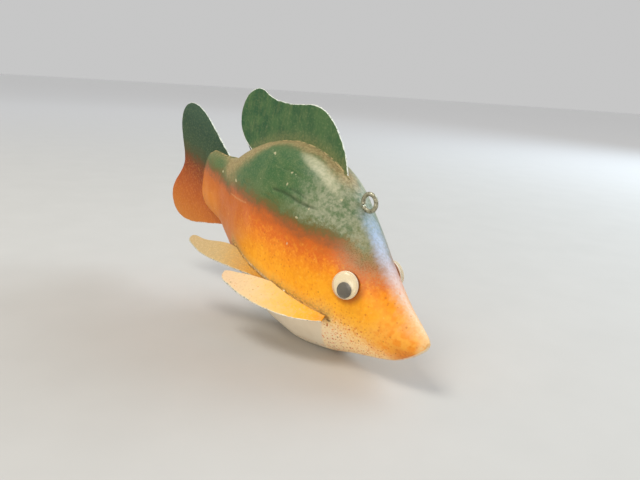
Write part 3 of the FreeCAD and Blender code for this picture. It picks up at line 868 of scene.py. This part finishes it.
def stains(points, x):
    """Where grime, the eye's painted shadow, the open kerf end, the fins' shelter with its painted
    shade, and the bare chin lie.
    """
    right = points * np.where(points[..., 1:2] > 0, [1, -1, 1], 1)
    away = right - EYE_CENTRE
    radial = np.linalg.norm(away - (away @ EYE_OUT)[..., None] * EYE_OUT, axis=-1)
    shade = away @ EYE_SHADE / EYE_RADIUS
    # a painted shadow of the eye on the cheek, strongest below it and towards the nose
    round_eye = 1 - step(radial - EYE_RADIUS, *EYE_SHADOW_FADE)
    slit = np.hypot(right[..., 0] - OPEN_KERF_X, 1.6 * (right[..., 2] - FRONT_KERF_Z + 0.4))
    plane = FRONT_KERF_Z + (right[..., 1] + KERF_Y) * math.tan(DROOP)
    # the belly under the front fins: kept from the spray, and painted greyer there as shade
    sheltered_and_shaded = step(plane - points[..., 2], 0.0, 0.8)
    sheltered_and_shaded *= (1 - step(points[..., 0], -38.2, -37.6)) * step(points[..., 0], -100, -80)
    over_keel = points[..., 2] - section_sizes(x)[1][:, None]
    return {"kerf_dirt": (1 - step(kerf_distance(points), *KERF_GRIME)) * (points[..., 2] > -12),
            "eye_painted_shadow": round_eye * np.clip(0.25 + 0.75 * shade, 0, 1),
            "gap": 1 - step(slit, 0.5, 1.3),
            "fin_shadow": sheltered_and_shaded,
            "chin_strip": (1 - step(over_keel, 0.5, 1.3)) * step(points[..., 0], -11, -8)}


def carve_body(materials):
    """The whole carved skin, marked for its paint; the lead is cut out of it later."""
    x, points = rows_of_skin()
    lumps = sum(height * rough(points * squash, size, seed)
                for height, squash, size, seed in LUMPS)
    depth, marks = carvings(points)
    fade = step(-x, 0.5, 6.0)[:, None]
    points = points + outward(points) * ((lumps - depth - SKIN_INSET) * fade)[..., None]
    marks.update(stains(points, x))

    centre = points[-1].mean(axis=0)
    rings = [centre + (points[-1] - centre) * k for k in END_RINGS]
    rows = ROWS + len(rings)
    faces = grid_faces(rows, COLS, True)
    faces += [((rows - 1) * COLS + j, (rows - 1) * COLS + (j + 1) % COLS, rows * COLS)
              for j in range(COLS)]
    placed = to_row(np.concatenate([points.reshape(-1, 3), *rings, centre[None]]))
    placed[:, 2] = np.maximum(placed[:, 2], 0.0)
    mesh = bpy.data.meshes.new("carved_body")
    mesh.from_pydata([tuple(p) for p in placed], [], faces)
    for label, values in marks.items():
        mark(mesh, label, np.concatenate([values.ravel(), np.zeros(len(rings) * COLS + 1)]))
    return closed_object(mesh, materials)


def closed_object(mesh, materials):
    """Wood or lead, in the scene, with its mesh closed."""
    close_up(mesh)
    mesh.materials.append(materials["paint"])
    mesh.materials.append(materials["lead"])
    return add_object(mesh)


def pocket_prism(spread, materials):
    """The lead's pocket as a closed block, its walls moved out by spread mm."""
    (front_x, front_r), (back_x, back_r) = POCKET_ENDS
    lean = math.asin((back_r - front_r) / (front_x - back_x))
    quarter = math.pi / 2
    outline = []
    for x, radius, start, end, count in (
            (front_x, front_r + spread, lean - quarter, quarter - lean, 25),
            (back_x, back_r + spread, quarter - lean, 3 * quarter + lean, 37)):
        outline += [(x + radius * math.cos(a), radius * math.sin(a))
                    for a in np.linspace(start, end, count)]
    n = len(outline)
    points = [(x, y, z) for z in (POCKET_FLOOR, POCKET_ROOF + spread) for x, y in outline]
    mesh = bpy.data.meshes.new("pocket")
    mesh.from_pydata([tuple(p) for p in to_row(points)], [], caps(2, n) + grid_faces(2, n, True))
    block = closed_object(mesh, materials)
    mesh.polygons.foreach_set("material_index", [1] * len(mesh.polygons))
    return block


def cut(piece, block, operation):
    """Apply a boolean to piece and return its new mesh."""
    change = piece.modifiers.new("cut", "BOOLEAN")
    change.operation = operation
    change.object = block
    change.solver = "EXACT"
    bpy.context.view_layer.update()
    graph = bpy.context.evaluated_depsgraph_get()
    mesh = bpy.data.meshes.new_from_object(piece.evaluated_get(graph))
    piece.modifiers.remove(change)
    return mesh


def body_and_lead(materials):
    """The painted blank and the poured lead, cut from one carved skin."""
    blank = carve_body(materials)
    tight = pocket_prism(-LEAD_GAP, materials)
    loose = pocket_prism(0.0, materials)
    lead_mesh = cut(blank, tight, "INTERSECT")
    blank.data = cut(blank, loose, "DIFFERENCE")
    lead = add_object(lead_mesh, "belly_lead")
    for piece, node, slot in ((blank, "body", "painted_wood"), (lead, "belly_ballast", "lead")):
        close_up(piece.data)
        smooth(piece.data, 50)
        fit(piece, "fish", node)
    for block in (tight, loose):
        bpy.data.objects.remove(block)
    return blank


# ---- sheet-metal fins ----
DORSAL_OUTER = [(-54.5, 38.8), (-58.0, 45.0), (-62.0, 49.7), (-67.9, 54.5), (-73.0, 56.8),
                (-78.3, 57.4), (-84.5, 56.1), (-91.3, 53.9), (-98.6, 52.5), (-105.2, 51.9),
                (-110.0, 52.6), (-114.5, 53.1), (-118.8, 51.7), (-123.4, 47.4),
                (-125.4, 40.0), (-123.6, 33.2), (-119.3, 29.1), (-113.3, 26.6)]
DORSAL_FOOT = [(-54.5, 35.4), (-112.8, 22.8)]
UPPER_LOBE = [(-124.0, 15.0), (-134.0, 20.0), (-146.0, 26.0), (-156.0, 29.9),
              (-164.0, 30.8), (-171.0, 28.7), (-175.3, 22.5), (-173.9, 14.5),
              (-169.4, 6.5), (-167.0, 0.0)]
LOWER_LOBE = [(-167.0, 0.0), (-168.8, -6.0), (-172.8, -13.2), (-174.0, -20.8),
              (-169.8, -26.6), (-163.0, -28.6), (-155.0, -27.8), (-146.0, -24.6),
              (-134.0, -19.4), (-124.0, -15.0)]
TAIL_FOOT = [(-124.0, 15.0 - 1e-3), (-124.0, -15.0 + 1e-3)]
FRONT_LEAF = [(-35.4, 1.6), (-38.5, 4.0), (-45.0, 8.2), (-53.0, 11.7), (-61.5, 14.2),
              (-71.0, 15.5), (-78.0, 15.5), (-83.4, 14.4), (-84.7, 12.5), (-81.0, 9.4),
              (-74.0, 5.8), (-66.5, 2.9), (-60.5, 0.5)]
REAR_LEAF = [(-68.2, 0.2), (-69.2, 1.4), (-76.3, 4.6), (-84.0, 7.0), (-93.4, 9.9),
             (-99.5, 11.5), (-106.0, 12.2), (-112.5, 11.7), (-116.4, 10.3), (-116.7, 8.7),
             (-111.7, 6.5), (-106.0, 3.9), (-99.1, 0.2), (-94.0, -0.8)]
LEAVES = [  # (name, outline, height of its kerf, ends of its foot in the wood)
    ("front", FRONT_LEAF, FRONT_KERF_Z, (-38.0, -60.5)),
    ("rear", REAR_LEAF, REAR_KERF_Z, (-70.0, -94.0)),
]
SHEET_COLS = 240
SHEET_ROWS = 26
RIM_STEPS = [(0.0, 0.30), (0.10, 0.62), (0.22, 0.88), (0.42, 1.0)]   # (inset, share of thickness)
RIM_LIMIT = 0.3            # the rounded rim takes at most this share of the plate's reach
RIM_SEARCH = 25            # outline points searched each way for the nearest one


def sheet_piece(name, outer, inner, lay, wave, material, node, nick, reach=None):
    """A thin plate between an outer outline and an inner line, its rim rounded.

    lay(u, v, t) puts plate coordinates and a distance off the plate in the fish
    frame; wave(u, v) bends the plate; nick is how far wear has nibbled the rim;
    reach(u, v) is how far out a point is, for the paint.
    """
    count = len(outer)
    gap = outer - inner
    length = np.linalg.norm(gap, axis=1)
    inward = -gap / np.maximum(length, 1e-6)[:, None]
    nibble = np.abs(nick * rough(np.column_stack([outer, np.zeros(count)]), 2.2, 4))
    outer = outer + inward * nibble[:, None] * step(length, 0, 4)[:, None]
    length = np.maximum(np.linalg.norm(outer - inner, axis=1), 1e-6)
    rim = RIM_STEPS[-1][0]
    shares = [k / SHEET_ROWS * (1 - np.minimum(rim / length, RIM_LIMIT)) for k in range(SHEET_ROWS)]
    thick = [1.0] * SHEET_ROWS
    for inset, part in reversed(RIM_STEPS):
        shares.append(1 - np.minimum(inset / length, RIM_LIMIT * inset / rim))
        thick.append(part)
    rows = len(shares)
    flat = inner + (outer - inner) * np.array(shares)[..., None]
    half = SHEET / 2 * np.array(thick)[:, None]
    u, v = flat[..., 0], flat[..., 1]
    both = [lay(u, v, wave(u, v) + sign * half).reshape(-1, 3) for sign in (1, -1)]
    back = rows * count
    faces = grid_faces(rows, count, False)
    faces += [tuple(back + i for i in reversed(f)) for f in faces]
    ids = np.arange(back).reshape(rows, count)
    border = np.concatenate([ids[-1], ids[-2::-1, -1], ids[0, -2::-1], ids[1:-1, 0]]).tolist()
    faces += [(a, b, back + b, back + a) for a, b in zip(border, border[1:] + border[:1])]
    far = [np.linalg.norm(outer[max(0, j - RIM_SEARCH):j + RIM_SEARCH + 1] - flat[:, j, None],
                          axis=-1).min(axis=-1) for j in range(count)]
    marks = {"rim": np.concatenate([np.array(far).T.ravel()] * 2)}
    if reach is not None:
        marks["reach"] = np.concatenate([reach(u, v).ravel()] * 2)
    make(name, np.concatenate(both), faces, material, node, sharp=60, marks=marks)


def upright(u, v, t):
    return np.stack([u, t, v], -1)


def flank_lay(side, kerf_z):
    """Plate coordinates to the fish frame for a side fin on one side."""
    def lay(u, v, t):
        y = KERF_Y + v * math.cos(DROOP) + t * math.sin(DROOP)
        z = kerf_z - v * math.sin(DROOP) + t * math.cos(DROOP)
        return np.stack([u, side * y, z], -1)
    return lay


def even(points, count):
    """Even samples along a polyline."""
    p = np.array(points, float)
    s = np.concatenate([[0], np.cumsum(np.linalg.norm(np.diff(p, axis=0), axis=1))])
    at = np.linspace(0, s[-1], count)
    return np.column_stack([np.interp(at, s, p[:, 0]), np.interp(at, s, p[:, 1])])


def fins(materials):
    sheet_piece("dorsal_sheet", smooth_line(DORSAL_OUTER, SHEET_COLS),
                even(DORSAL_FOOT, SHEET_COLS), upright,
                lambda u, v: 0.35 * np.sin((u + 60) / 14) * step(v, 38, 56),
                materials["dorsal"], "dorsal_fin", 0.25)
    sheet_piece("tail_sheet", smooth_line(UPPER_LOBE + LOWER_LOBE[1:], SHEET_COLS),
                even(TAIL_FOOT, SHEET_COLS), upright,
                lambda u, v: 0.5 * step(-u, 140, 176) * np.sin(v / 16),
                materials["tail"], "tail_fin", 0.22)
    for label, leaf, kerf_z, (near, far) in LEAVES:
        line = smooth_line(leaf, 2 * SHEET_COLS)
        turn = int(np.argmin(line[:, 0]))
        outer = even(line[:turn + 1], SHEET_COLS)
        inner = even([line[0], (near, -TONGUE), (far, -TONGUE), *line[turn:][::-1]], SHEET_COLS)
        start = leaf[0][0]
        span = min(u for u, v in leaf) - start
        for side, word in SIDES:
            sheet_piece(
                f"{label}_leaf_{word}", outer, inner, flank_lay(side, kerf_z),
                lambda u, v: 0.15 * np.sin(u / 6) - 0.5 * step((u - start) / span, 0.4, 1.0),
                materials[label], f"{label}_fin_{word}", 0.15,
                lambda u, v: np.clip((u - start) / span * 0.75 + v / 60, 0, 1))


# ---- filler beads ----
BEAD_ARC = np.radians(np.linspace(-12, 192, 17))
BEAD_TAPER = 6             # rows over which a bead's end tapers
BEAD_ROOT = 0.8            # how far a bead's foot is sunk in the wood
BEAD_DIP = 0.04            # how far a bead's edges are sunk
FLANK_BEADS = [("front", FRONT_KERF_Z, -35.0, -66.0), ("rear", REAR_KERF_Z, -67.6, -99.5)]


def bead_piece(name, path, out, across, drop, height, material, node, seed):
    """A lumpy ridge of filler along a path on the wood, sunk a little into it."""
    n = len(path)
    ends = np.minimum(np.arange(n), np.arange(n)[::-1]) / BEAD_TAPER
    taper = np.sqrt(np.clip(ends, 0.08, 1.0))
    fine = rough(path, 0.9, seed + 3)
    wide = (0.85 + 0.22 * rough(path, 2.4, seed) + 0.10 * fine) * (0.4 + 0.6 * taper)
    high = height * (1 + 0.28 * rough(path, 1.7, seed + 5) + 0.15 * fine) * taper
    rows = []
    for k in range(n):
        c = np.cos(BEAD_ARC) * wide[k]
        h = np.sin(BEAD_ARC) * high[k] - drop * c ** 2 - BEAD_DIP
        rows.append(path[k] + c[:, None] * across[k] + h[:, None] * out[k])
        foot = path[k] - BEAD_ROOT * out[k]
        rows.append(foot + np.array([[-0.5], [0.5]]) * wide[k] * across[k])
    cols = len(BEAD_ARC) + 2
    faces = grid_faces(n, cols, True) + caps(n, cols)
    make(name, np.concatenate(rows), faces, material, node, sharp=70)


def ridge_bead(name, x, z, inside, sideways, drop, material, node, seed):
    """A bead along a line in the fish's middle plane, facing away from inside."""
    path = np.stack([x, np.zeros_like(x), z], -1)
    across = np.broadcast_to(np.array([0, sideways, 0.0]), path.shape)
    out = unit(np.cross(across, unit(np.gradient(path, axis=0))))
    out *= np.sign(((path - inside) * out).sum(1))[:, None]
    bead_piece(name, path, out, across, drop, 0.33, material, node, seed)


def flank_path(kerf_z, start, end):
    """Where a left side fin's middle leaves the wood, and the way out of the wood there."""
    x = np.linspace(start, end, 110)
    _, low, mid, wide, full = section_sizes(x)
    near = np.full(x.shape, -8.0)
    far = np.full(x.shape, 10.0)
    for _ in range(40):
        v = (near + far) / 2
        y = KERF_Y + v * math.cos(DROOP)
        z = kerf_z - v * math.sin(DROOP)
        outside = (y / wide) ** full + ((mid - z) / (mid - low)) ** full > 1
        far = np.where(outside, v, far)
        near = np.where(outside, near, v)
    steep_y = full * (y / wide) ** (full - 1) / wide
    steep_z = -full * ((mid - z) / (mid - low)) ** (full - 1) / (mid - low)
    return np.stack([x, y, z], -1), unit(np.stack([np.zeros_like(x), steep_y, steep_z], -1))


def fillers(materials):
    x = np.linspace(-53.4, -114.8, 190)
    ridge_bead("dorsal_bead", x, section_sizes(x)[0], (-85.0, 0, 0), -1, 0.06,
               materials["ridge_filler"], "dorsal_filler", 1)

    x = np.linspace(-122.6, STUB_END + 0.05, 90)
    top, low = section_sizes(x)[:2]
    end = np.linspace(top[-1], low[-1], 40)[1:-1]
    outline = np.concatenate([np.column_stack([x, top]),
                              np.column_stack([np.full(len(end), STUB_END), end]),
                              np.column_stack([x, low])[::-1]])
    x, z = even(outline, 230).T
    ridge_bead("tail_bead", x, z, (-130.0, 0, 2.0), 1, 0.12,
               materials["ridge_filler"], "tail_filler", 2)

    for label, kerf_z, start, end in FLANK_BEADS:
        left, left_out = flank_path(kerf_z, start, end)
        for side, word in SIDES:
            path = left * [1, side, 1]
            out = left_out * [1, side, 1]
            across = unit(np.cross(unit(np.gradient(path, axis=0)), out))
            bead_piece(f"{label}_bead_{word}", path, out, across, 0.03, 0.2,
                       materials["flank_filler"], f"{label}_filler_{word}", 7 + side)


# ---- screw eye ----
WIRE_SIDES = 20
RING_ROWS = 120
RING_SWEEP = (-90, 254)    # degrees round the ring; the wire's end just misses the shank
WIRE_END = (0.55, 0.82, 0.95)  # shares of the wire's size in its last rows
SHANK_ROWS = 150
SHANK_OVERLAP = 0.4        # how far the shank reaches up into the ring
THREAD_START = (2.6, 3.6)
POINT_LENGTH = 2.6
THREAD_PITCH = 0.8
THREAD_DEPTH = 0.2


def screw_eye(material):
    """A bent wire loop whose end just misses the shank, and a threaded shank in the wood."""
    right = np.array([0, 1.0, 0])
    up = unit(SHANK_UP)
    ahead = np.cross(right, up)
    rows = []
    for k, a in enumerate(np.radians(np.linspace(*RING_SWEEP, RING_ROWS))):
        out = math.cos(a) * ahead + math.sin(a) * up
        size = WIRE_RADIUS * (1 + 0.02 * math.sin(7 * k / 12))
        left = RING_ROWS - 1 - k
        if left < len(WIRE_END):
            size *= WIRE_END[left]
        rows.append(RING_CENTRE + RING_MID_RADIUS * out + size * circle(out, right, WIRE_SIDES))
    foot = RING_CENTRE - up * RING_MID_RADIUS
    ring = circle(ahead, right, WIRE_SIDES)
    turns = np.linspace(0, 1, WIRE_SIDES, endpoint=False)
    for depth in np.linspace(-SHANK_OVERLAP, SHANK_LENGTH, SHANK_ROWS):
        groove = np.abs((depth / THREAD_PITCH - turns) % 1.0 - 0.5) * 2
        radius = WIRE_RADIUS - step(depth, *THREAD_START) * THREAD_DEPTH * groove
        point = 1 - step(depth, SHANK_LENGTH - POINT_LENGTH, SHANK_LENGTH + 0.3)
        rows.append(foot - up * depth + ring * (radius * point)[:, None])
    faces = grid_faces(RING_ROWS, WIRE_SIDES, True) + caps(RING_ROWS, WIRE_SIDES)
    shank = grid_faces(SHANK_ROWS, WIRE_SIDES, True) + caps(SHANK_ROWS, WIRE_SIDES)
    faces += [tuple(RING_ROWS * WIRE_SIDES + i for i in f) for f in shank]
    make("screw_eye", np.concatenate(rows), faces, material, "line_tie", sharp=50)


# ---- moving-pupil eyes ----
DOME_LIFT = 0.03           # between the dome's foot and the backing disc
SNAP = 0.2                 # the dome's step in above its foot
EYE_SIDES = 72
PUPIL_SIDES = 56
GLUE_CORE = 3.6            # the glue starts this far out under the disc,
GLUE_RADIUS = 4.75         # and ends about this far out
GLUE_REACH = 2.6           # how deep the glue goes at most


def disc_outline():
    r = EYE_RADIUS
    return [(0.0, 0.0), (r - 0.6, 0.0), (r - 0.15, 0.03), (r, 0.14), (r, BACKING - 0.1),
            (r - 0.08, BACKING), (r - 0.7, BACKING), (0.0, BACKING)]


def dome_outline():
    """Up the outside of the dome to its top, and back down the inside."""
    r = EYE_RADIUS
    arc = np.linspace(0, np.pi / 2, 15)
    line = [(r, DOME_LIFT), (r, 0.18), (r - 0.16, 0.34), (r - SNAP, 0.6)]
    for radius, rise, angles in ((r - SNAP, DOME_RISE, arc),
                                 (r - DOME_WALL, DOME_RISE - DOME_WALL, arc[::-1])):
        line += [(radius * math.cos(a) if a < arc[-1] else 0.0, DOME_SKIRT + rise * math.sin(a))
                 for a in angles]
    return line + [(r - DOME_WALL, DOME_LIFT)]


def pupil_outline():
    p = PUPIL_RADIUS
    t = PUPIL_THICKNESS
    return [(0.0, 0.0), (p - 0.12, 0.0), (p, 0.1), (p, t - 0.16), (p - 0.05, t - 0.06),
            (p - 0.16, t), (p * 0.5, t), (0.0, t)]


def eyes(materials, wood):
    tree = BVHTree.FromPolygons([v.co for v in wood.data.vertices],
                                [tuple(p.vertices) for p in wood.data.polygons])
    down = np.array([math.sin(PITCH), 0, -math.cos(PITCH)])
    for side, word in SIDES:
        flip = np.array([1, -side, 1])
        centre = EYE_CENTRE * flip
        out = EYE_OUT * flip
        hang = unit(down - out * (down @ out))
        seat = centre + out * BACKING
        bob = seat + out * PUPIL_GAP + hang * PUPIL_OFFSET
        for name, outline, place, sides, look, slot, node, body, sharp in (
                ("eye_disc", disc_outline(), centre, EYE_SIDES, "backing", "eye_white",
                 "eye_backing", "fish", 60),
                ("eye_lens", dome_outline(), seat, EYE_SIDES, "dome", "eye_clear",
                 "eye_dome", "fish", 35),
                ("pupil_disc", pupil_outline(), bob, PUPIL_SIDES, "pupil", "pupil_black",
                 "eye_pupil", f"pupil_{word}", 60)):
            points, faces = lathe(outline, place, out, sides)
            make(f"{name}_{word}", points, faces, materials[look], f"{node}_{word}",
                 body, sharp)
        glue_pad(side, word, centre, out, tree, materials["glue"])


def glue_pad(side, word, centre, out, tree, material):
    """Glue squeezed between the flat disc and the round cheek."""
    across = unit(np.cross(out, [0, 0, 1.0]))
    other = np.cross(out, across)
    rows = []
    for a in np.linspace(0, 2 * np.pi, EYE_SIDES, endpoint=False):
        ray = math.cos(a) * across + math.sin(a) * other
        uneven = noise.noise(Vector((3 * math.cos(a), 3 * math.sin(a), side)))
        foot = GLUE_RADIUS + 0.22 * uneven
        start = centre + ray * foot + out
        hit = tree.ray_cast(Vector(to_row(start)), Vector(TURN @ -out))
        deep = hit[3] / MM - 1.0 if hit[0] is not None else 0.5
        deep = min(max(deep, 0.02), GLUE_REACH)
        rows.append([centre + ray * GLUE_CORE, centre + ray * (foot - 0.15),
                     centre + ray * foot - out * deep * 0.5,
                     centre + ray * (foot + 0.12 * min(deep, 1)) - out * (deep + 0.15)])
    points = np.array(rows).transpose(1, 0, 2).reshape(-1, 3)
    faces = grid_faces(4, EYE_SIDES, True) + caps(4, EYE_SIDES)
    make(f"eye_glue_{word}", points, faces, material, f"eye_pad_{word}", sharp=60)


# ---- stage ----
MIDDLE = (0.0, 0.0, 0.04)  # where the lamps aim
LIGHTS = [  # (name, place, size, watts, tint)
    ("key", (-0.20, -0.35, 0.95), (0.40, 0.40), 4.6, (1.0, 0.97, 0.92)),
    ("fill", (0.40, -0.90, 0.22), (0.8, 0.4), 3.5, (1.0, 0.95, 0.88)),
    ("window", (0.20, 0.88, 0.60), (0.9, 0.6), 8.4, (0.72, 0.86, 1.0)),
]
FLOOR_RADII = (0.25, 0.6, 1.2, 2.5, 6.0)
FLOOR_SIDES = 64


def soft_box(name, place, size, watts, tint):
    data = bpy.data.lights.new(name, "AREA")
    data.shape = "RECTANGLE"
    data.size, data.size_y = size
    data.energy = watts
    data.color = tint
    light = bpy.data.objects.new(name, data)
    light.visible_camera = False
    light.location = place
    light.rotation_euler = (Vector(MIDDLE) - Vector(place)).to_track_quat("-Z", "Y").to_euler()
    bpy.context.scene.collection.objects.link(light)


def stage():
    """A round pale floor, painted paler further out as painted light, an even sky and three soft
    lamps.
    """
    rim = circle(np.array([1.0, 0, 0]), np.array([0, 1.0, 0]), FLOOR_SIDES)
    points = [(0.0, 0.0, 0.0)] + [tuple(radius * p) for radius in FLOOR_RADII for p in rim]
    faces = [(0, 1 + k, 1 + (k + 1) % FLOOR_SIDES) for k in range(FLOOR_SIDES)]
    faces += [tuple(1 + i for i in reversed(f))
              for f in grid_faces(len(FLOOR_RADII), FLOOR_SIDES, True)]
    mesh = bpy.data.meshes.new("floor")
    mesh.from_pydata(points, [], faces)
    s = Shader("pale_floor")
    place = s.add("TexCoord", {}).outputs["Object"]
    grit = s.noise(place, 0.03)
    away = s.add("VectorMath", {0: place}, operation="LENGTH").outputs["Value"]
    # the floor is painted paler further out, standing in for the lamp light that falls off away
    # from the middle
    tone = s.mix(s.step(away, 0.25, 1.6), s.mix(grit, "bfbcb6", "c6c3bd"), "f2f2f2")
    mesh.materials.append(s.surface(tone, 0.8))
    floor = add_object(mesh)

    world = bpy.data.worlds.new("studio")
    bpy.context.scene.world = world
    world.use_nodes = True
    sky = world.node_tree.nodes["Background"]
    sky.inputs["Color"].default_value = colour("e6e6e6")
    sky.inputs["Strength"].default_value = 0.72
    for lamp in LIGHTS:
        soft_box(*lamp)


CAMERA_PLACE = (0.16812, -0.15280, 0.10038)
CAMERA_AZIMUTH = math.radians(47.567)
CAMERA_ELEVATION = math.radians(14.695)
CAMERA_ROLL = math.radians(3.621)
CAMERA_LENS = 33.75


def camera():
    data = bpy.data.cameras.new("camera")
    data.sensor_width = 36.0
    data.lens = CAMERA_LENS
    data.clip_start = 0.01
    view = bpy.data.objects.new("camera", data)
    forward = Vector((-math.sin(CAMERA_AZIMUTH) * math.cos(CAMERA_ELEVATION),
                      math.cos(CAMERA_AZIMUTH) * math.cos(CAMERA_ELEVATION),
                      -math.sin(CAMERA_ELEVATION)))
    aim = forward.to_track_quat("-Z", "Y").to_matrix().to_4x4()
    spin = Matrix.Rotation(-CAMERA_ROLL, 4, forward)
    view.matrix_world = Matrix.Translation(CAMERA_PLACE) @ spin @ aim
    bpy.context.scene.collection.objects.link(view)
    bpy.context.scene.camera = view


materials = {
    "paint": paint_material(),
    "lead": lead_material(),
    "dorsal": sheet_material("dorsal_paint", dorsal_paint),
    "tail": sheet_material("tail_paint", tail_paint),
    "front": sheet_material("front_fin_paint", side_fin_paint, "d9d2bc"),
    # the rear fins' paint and rim colour are darker as painted shade
    "rear": sheet_material("rear_fin_painted_shade", rear_fin_painted_shade, "cfc6ac"),
    "ridge_filler": filler_material("ridge_filler", "6c6e44", "b09a6a"),
    "flank_filler": filler_material("flank_filler", "9a7036", "cf9a4e"),
    "backing": backing_material(),
    "pupil": pupil_material(),
    "dome": dome_material(),
    "glue": glue_material(),
}
wood = body_and_lead(materials)
fins(materials)
fillers(materials)
screw_eye(wire_material())
eyes(materials, wood)
stage()
camera()
bpy.context.scene.view_settings.view_transform = "Standard"
